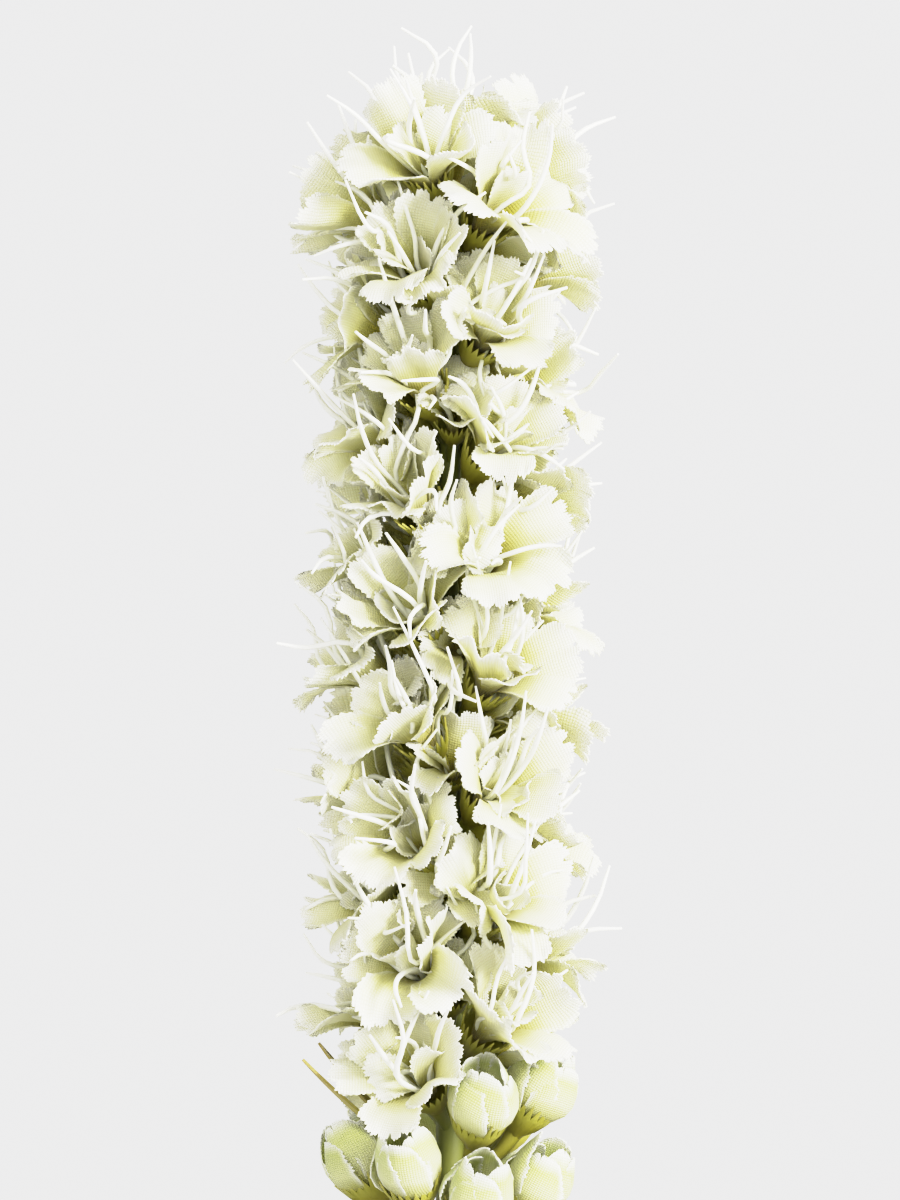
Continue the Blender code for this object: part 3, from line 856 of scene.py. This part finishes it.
# %% Cut and wrap the bud petals
BUD_LENGTH = 0.0150
bud_cuts = [
    cut_petal("bud_a", BUD_LENGTH, (0.0018, 0.0046, 0.0060, 0.0063, 0.0056, 0.0040, 0.0022),
              8, 0.00024, 0.0012, ((0.3, 0.0008),), 6, bud_fabric, 0.36),
    cut_petal("bud_b", BUD_LENGTH, (0.0018, 0.0043, 0.0056, 0.0060, 0.0055, 0.0043, 0.0027),
              8, 0.00028, 0.0009, ((-0.4, 0.0012),), 7, bud_fabric, 0.36)]


def wrap_bud_petal(petal, azimuth, girth, slant, opening, droop, tone, tallness):
    """Wraps a petal round the bud. slant lifts one side edge over its neighbour."""
    flat = points_of(petal)
    x, t = flat[:, 0], np.clip(flat[:, 1] / BUD_LENGTH, 0, 1.2)
    belly = np.interp(t, (0, 0.12, 0.30, 0.50, 0.70, 0.88, 1.05),
                      (0.0016, 0.0038, 0.0056, 0.0062, 0.0058, 0.0046, 0.0034)) * girth
    belly = belly + opening * np.clip(t - 0.55, 0, 1) ** 2
    height = BUD_LENGTH * np.interp(t, (0, 0.15, 0.5, 1.0, 1.2), (0.0, 0.10, 0.46, 0.93, 1.10))
    height = height * tallness - droop * (x / 0.006) ** 2 * t
    angle = azimuth + x / np.maximum(belly, 0.0030)
    radius = belly + slant * x / 0.006 * 0.0007 + 0.0003 * np.sin(x / 0.006 * 5 + azimuth * 3) * t
    move_points(petal, np.stack([radius * np.cos(angle), radius * np.sin(angle), height], axis=1))
    petal.data.attributes["tone"].data.foreach_set("value", np.full(len(flat), tone, dtype=np.float32))


BUD_SEAT = 0.0040
for number, matrix in enumerate(bud_frames, 1):
    draw = random.Random(7000 + number)
    turn = draw.uniform(0, math.tau)
    petals = []
    for place in range(6):
        outer = place < 3
        petal = copy_of(draw.choice(bud_cuts), f"bud_{number}_{place}")
        wrap_bud_petal(petal, turn + math.tau * place / 3 + (0 if outer else 1.0) + draw.uniform(-0.2, 0.2),
                       draw.uniform(0.98, 1.05) if outer else draw.uniform(0.86, 0.93), 1.0,
                       draw.uniform(-0.006, 0.004), draw.uniform(0.0004, 0.0018), draw.random(),
                       draw.uniform(0.82, 1.0) if outer else draw.uniform(0.94, 1.04))
        petals.append(petal)
    bud = join(f"bud_petals_{number:02d}", petals)
    set_in(bud, matrix @ Matrix.Translation((0, 0, BUD_SEAT)))
    thicken(bud, CLOTH)
    bpy.ops.object.shade_smooth_by_angle(angle=math.radians(65))
    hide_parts(f"bud_{number:02d}")
    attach(bud, "root")
for cut in petal_cuts + tongue_cuts + bud_cuts:
    drop_template(cut)
print("buds wrapped", len(bud_frames))

# %% [markdown]
# ## Stem and pegs
#
# The stem is a tapering rod with a peg for each cup. All of them are splines of one curve, because a curve
# tapers and bends without any faces to push about. The knops, tiny green buds near the bottom, are short
# fat splines.

# %% Grow the stem
def add_rod(curve, line, radii):
    spline = curve.splines.new("POLY" if len(line) == 2 else "BEZIER")
    points = spline.points if len(line) == 2 else spline.bezier_points
    points.add(len(line) - 1)
    spline.resolution_u = 4
    for knot, place, radius in zip(points, line, radii):
        if len(line) == 2:
            knot.co = (*place, 1.0)
        else:
            knot.co = place
            knot.handle_left_type = knot.handle_right_type = "AUTO"
        knot.radius = radius


STEM_FOOT = 0.0063
stem = curve_object("stem_and_pegs", 1.0)
stem.data.bevel_resolution = 2
add_rod(stem.data, [Vector((0, 0, z)) for z in (STEM_FOOT, 0.10, 0.20, 0.32, TERMINAL_HEIGHT + 0.004)],
        (0.0030, 0.0030, 0.0028, 0.0023, 0.0016))
for matrix in (m for whorl in whorls for m in whorl):
    add_rod(stem.data, [matrix @ Vector((0, 0, z)) for z in (0.0, 0.0045, 0.0082)], (0.0011, 0.0012, 0.0017))
for matrix in between:
    add_rod(stem.data, [matrix @ Vector((0, 0, z)) for z in (0.0, 0.0030, 0.0060)], (0.0010, 0.0010, 0.0013))
for matrix in bud_frames:
    end = matrix.translation
    out = Vector((end.x, end.y, 0)).normalized()
    along = matrix.to_3x3() @ Vector((0, 0, 1))
    add_rod(stem.data, [Vector((0, 0, end.z - 0.0085)), end - out * 0.0032 - Vector((0, 0, 0.0036)),
                        end + along * 0.0014], (0.0013, 0.0013, 0.0017))
for number in range(4):
    matrix = axis_frame(0.2360 - 0.0160 * number / 3, GOLDEN_ANGLE * number, math.radians(48))
    add_rod(stem.data, [matrix @ Vector((0, 0, z)) for z in (0.0010, 0.0045, 0.0072, 0.0095)],
            (0.0012, 0.0025, 0.0022, 0.0005))
take(stem)
bpy.ops.object.convert(target="MESH")
stem = bpy.context.object
stem.data.materials.append(stem_plastic)
stem.data.shade_smooth()
spot = points_of(stem)
stem.data.attributes.new("along", "FLOAT", "POINT").data.foreach_set(
    "value", np.clip(np.hypot(spot[:, 0], spot[:, 1]) / 0.010, 0, 1).astype(np.float32))
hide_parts("flower_stem")
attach(stem, "root")
print("stem faces", len(stem.data.polygons))

# %% [markdown]
# ## Leaves and bracts
#
# The leaves below the spike are long and grass-like with a crease down the middle. A grid is tapered row by
# row, its middle line is pushed down for the crease, and each copy is arched by walking along it by angle.

# %% Model a leaf and arch its copies
LEAF_ROWS = 12
LEAF_SHAPE = ((0.0, 0.60), (0.35, 1.0), (0.70, 0.80), (0.90, 0.38), (1.0, 0.06))


def model_blade(name, length, width, crease):
    bpy.ops.mesh.primitive_grid_add(x_subdivisions=4, y_subdivisions=LEAF_ROWS, size=1.0)
    leaf = bpy.context.object
    leaf.name = name
    edit(leaf)
    bpy.ops.transform.translate(value=(0, 0.5, 0))
    bpy.ops.transform.resize(value=(width, length, 1), center_override=(0, 0, 0))
    for row in range(LEAF_ROWS + 1):
        t = row / LEAF_ROWS
        full = float(np.interp(t, *zip(*LEAF_SHAPE)))
        pick(lambda co: abs(co.y - t * length) < length * 0.01)
        bpy.ops.transform.resize(value=(full, 1, 1), center_override=(0, t * length, 0))
        pick(lambda co: abs(co.y - t * length) < length * 0.01 and abs(co.x) < 1e-6)
        bpy.ops.transform.translate(value=(0, 0, -crease * full))
    leave()
    places = points_of(leaf)
    leaf.data.attributes.new("along", "FLOAT", "POINT").data.foreach_set(
        "value", np.clip(places[:, 1] / length, 0, 1).astype(np.float32))
    leaf.data.materials.append(leaf_plastic)
    leaf.data.shade_smooth()
    return leaf


def arch(leaf, base_length, length, droop, twist, matrix):
    """Walks along the blade by angle: the smooth arch through the solid blade's three steps."""
    flat = points_of(leaf)
    t = np.clip(flat[:, 1] / base_length, 0, 1)
    walk = np.linspace(0, 1, 41)
    lean = droop * (0.18 + 0.963 * walk)
    out = np.concatenate([[0], np.cumsum(np.sin(lean[:-1]))]) * length / 40
    up = np.concatenate([[0], np.cumsum(np.cos(lean[:-1]))]) * length / 40
    a = np.interp(t, walk, lean)
    turn = twist * t
    side = flat[:, 0] * np.cos(turn) - flat[:, 2] * np.sin(turn)
    rise = flat[:, 0] * np.sin(turn) + flat[:, 2] * np.cos(turn)
    move_points(leaf, np.stack([np.interp(t, walk, out) - np.cos(a) * rise, side,
                                np.interp(t, walk, up) + np.sin(a) * rise], axis=1))
    set_in(leaf, matrix)


BRACTS = ((172, 0.2640, 36, 0.034), (17, 0.2620, 36, 0.031), (80, 0.2600, 36, 0.031),
          (-158, 0.2640, 29, 0.036))
BRACT_WIDTH = 0.65
BRACT_BROWN = 0.75

blade = model_blade("leaf_template", 0.080, 0.0046, 0.0005)
draw = random.Random(31)
leaves = []
for number in range(11):
    share = number / 10
    leaf = copy_of(blade, f"leaf_{number}")
    arch(leaf, 0.080, 0.088 - 0.042 * share, math.radians(44), math.radians(draw.uniform(-40, 40)),
         axis_frame(0.160 + 0.052 * share, GOLDEN_ANGLE * number, math.radians(68)))
    leaves.append(leaf)
for azimuth, height, elevation, length in BRACTS:
    bract = copy_of(blade, f"bract_{azimuth}")
    places = points_of(bract)
    places[:, 0] *= BRACT_WIDTH
    move_points(bract, places)
    bract.data.attributes["along"].data.foreach_set(
        "value", (BRACT_BROWN + (1 - BRACT_BROWN) * places[:, 1] / 0.080).astype(np.float32))
    arch(bract, 0.080, length, math.radians(-14), math.radians(draw.uniform(-20, 20)),
         axis_frame(height, math.radians(azimuth), math.radians(elevation)))
    leaves.append(bract)
drop_template(blade)
leaves = join("leaves", leaves)
thicken(leaves, 0.0005)
bpy.ops.object.shade_smooth_by_angle(angle=math.radians(60))
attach(leaves, "root")
print("leaf faces", len(leaves.data.polygons))

# %% [markdown]
# ## The vase
#
# The photograph stops above the vase, so it is a plain one: a turned stoneware bottle with a neck just wide
# enough for the stem. A circle at the foot is extruded up the outside, over the lip and down the inside,
# which is how a potter's profile would be swept round the wheel.

# %% Throw the vase
VASE_HEIGHT = 0.150
OUTSIDE = ((0.0270, 0.0), (0.03906, 0.021), (0.0420, 0.0435), (0.03192, 0.078),
           (0.01156, 0.111), (0.0098, 0.1305), (0.0128, 0.1488))
INSIDE = ((0.0116, 0.1500), (0.0094, 0.1488), (0.0037, 0.134), (0.0037, 0.111),
          (0.0168, 0.093), (0.0336, 0.060), (0.0361, 0.033), (0.0243, 0.006))


def smooth_profile(points, steps):
    """Catmull-Rom through the given points."""
    ends = [points[0] * 2 - points[1], *points, points[-1] * 2 - points[-2]]
    line = []
    for a, b, c, d in zip(ends, ends[1:], ends[2:], ends[3:]):
        for step in range(steps):
            t = step / steps
            line.append(0.5 * (2 * b + (c - a) * t + (2 * a - 5 * b + 4 * c - d) * t * t
                               + (3 * b - 3 * c + d - a) * t ** 3))
    return [*line, points[-1]]


def glaze():
    finish = Finish("vase_glaze")
    where = finish.place()
    height = finish.node("ShaderNodeSeparateXYZ", None, {0: where})[2]
    drift = finish.noise(where, 34.0, 4.0)
    specks = finish.node("ShaderNodeTexVoronoi", {"feature": "F1"}, {
        "Vector": where, "Scale": 420.0})["Distance"]
    some = finish.noise(where, 160.0).math("GREATER_THAN", 0.60)
    spotted = (1.0 - specks * 5.5).math("MAXIMUM", 0.0) * some
    cream = finish.ramp(drift, (0.35, (0.52, 0.495, 0.44)), (0.65, (0.60, 0.58, 0.53)))
    cream = finish.mix(spotted * 0.55, cream, (0.30, 0.22, 0.14))
    bare = (height + (drift - 0.5) * 0.0012).math("LESS_THAN", 0.0016)
    colour = finish.mix(bare, cream, (0.55, 0.44, 0.33))
    relief = finish.bump(drift + specks * 0.04, 0.0006, 0.35)
    shader = finish.node("ShaderNodeBsdfPrincipled", None, {
        "Base Color": colour, "Roughness": bare * 0.45 + drift * 0.12 + 0.26, "Normal": relief})["BSDF"]
    return finish.surface(shader)


outline = smooth_profile([Vector((r, 0, z)) for r, z in OUTSIDE], 6)
outline += [Vector((r, 0, z)) for r, z in INSIDE]
bpy.ops.mesh.primitive_circle_add(vertices=72, radius=outline[0].x, fill_type="NGON")
vase = bpy.context.object
vase.name = "vase_body"
edit(vase)
bpy.ops.mesh.select_all(action="SELECT")
for here, there in zip(outline, outline[1:]):
    bpy.ops.mesh.extrude_region_move(TRANSFORM_OT_translate={"value": (0, 0, there.z - here.z)})
    bpy.ops.transform.resize(value=(there.x / here.x, there.x / here.x, 1), center_override=(0, 0, there.z))
bpy.ops.mesh.select_all(action="SELECT")
bpy.ops.mesh.normals_make_consistent(inside=False)
leave()
vase.data.materials.append(glaze())
take(vase)
bpy.ops.object.shade_smooth_by_angle(angle=math.radians(35))
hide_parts("vase")
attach(vase, "root")
print("vase faces", len(vase.data.polygons))

# %% [markdown]
# ## Floor, light and camera
#
# The photograph is a studio picture: a pale seamless background, one large soft light from the right that
# almost burns the petals out, and only the bright room on the left. Three round lamps do that: the window
# on the right, a weak one for the room in front, and a weak one for the wall behind, so that the back isn't
# dark. The pale backdrop is the world's own even light. The camera is level with the middle of the spike
# and far away, with a long lens.

# %% Floor and background
bpy.ops.mesh.primitive_circle_add(vertices=96, radius=2.0, fill_type="NGON", location=(0, 0, 0))
floor = bpy.context.object
floor.name = "floor"
paper = Finish("floor_paper")
floor.data.materials.append(paper.surface(paper.node("ShaderNodeBsdfPrincipled", None, {
    "Base Color": (0.86, 0.86, 0.865), "Roughness": 0.9})["BSDF"]))
world = bpy.data.worlds.new("studio")
bpy.context.scene.world = world
world.use_nodes = True
world.node_tree.nodes["Background"].inputs["Color"].default_value = (1.35, 1.35, 1.358, 1.0)
world.node_tree.nodes["Background"].inputs["Strength"].default_value = 1.0


def add_light(name, place, target, size, power, colour, spread):
    lamp = bpy.data.lights.new(name, "AREA")
    lamp.shape = "DISK"
    lamp.size, lamp.energy, lamp.color, lamp.spread = size, power, colour, math.radians(spread)
    holder = bpy.data.objects.new(name, lamp)
    holder.location = place
    holder.rotation_euler = (Vector(target) - Vector(place)).to_track_quat("-Z", "Y").to_euler()
    bpy.context.scene.collection.objects.link(holder)


add_light("window", (0.95, -0.85, 0.80), (0, 0, 0.40), 0.55, 6.5, (1.0, 0.99, 0.97), 50)
add_light("room", (-0.20, -1.25, 0.75), (0, 0, 0.40), 0.90, 1.2, (1.0, 0.99, 0.97), 50)
add_light("far_wall", (0.40, 1.25, 0.80), (0, 0, 0.40), 0.90, 1.6, (1.0, 1.0, 1.0), 50)

# %% [markdown]
# A camera rolls its brightest tones off softly, while a plain picture clips them and turns white cloth
# yellow. The tone curve does the same: it takes the scene's light on its first number and gives the
# picture's on its second.

# %% The tone curve
TONE_CURVE = ((0.0, 0.0), (0.05, 0.045), (0.15, 0.140), (0.30, 0.285), (0.55, 0.51), (0.80, 0.70),
              (1.10, 0.80), (1.40, 0.85), (2.0, 0.90), (3.0, 0.94))
BRIGHTEST = TONE_CURVE[-1][0]
view = bpy.context.scene.view_settings
view.view_transform = "Standard"
view.use_curve_mapping = True
view.curve_mapping.white_level = (BRIGHTEST, BRIGHTEST, BRIGHTEST)
line = view.curve_mapping.curves[3]
line.points[0].location = TONE_CURVE[0]
line.points[1].location = (1.0, TONE_CURVE[-1][1])
for light, shown in TONE_CURVE[1:-1]:
    line.points.new(light / BRIGHTEST, shown)
view.curve_mapping.update()
print("tone curve", len(line.points), "points")

# %% Camera
FRAME_HEIGHT = 0.216
FRAME_MIDDLE = 0.368
CAMERA_DISTANCE = 1.0
camera = bpy.data.objects.new("camera", bpy.data.cameras.new("camera"))
camera.location = (0, -CAMERA_DISTANCE, FRAME_MIDDLE)
camera.rotation_euler = (math.radians(90), 0, 0)
camera.data.sensor_width = 36.0
camera.data.lens = 36.0 * CAMERA_DISTANCE / FRAME_HEIGHT
bpy.context.scene.collection.objects.link(camera)
bpy.context.scene.camera = camera
print("lens", round(camera.data.lens, 1))

# %% [markdown]
# ## Counting triangles
#
# The shown meshes' triangles are counted, in all and in the piece that holds the most.

# %% Count the triangles
deselect()
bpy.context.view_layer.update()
shown = [item for item in bpy.context.scene.objects if item.type == "MESH" and not item.hide_render]
triangles = {item.name: sum(len(face.vertices) - 2 for face in item.data.polygons) for item in shown}
most = max(triangles, key=triangles.get)
print("triangles", sum(triangles.values()), "most in", most, triangles[most])
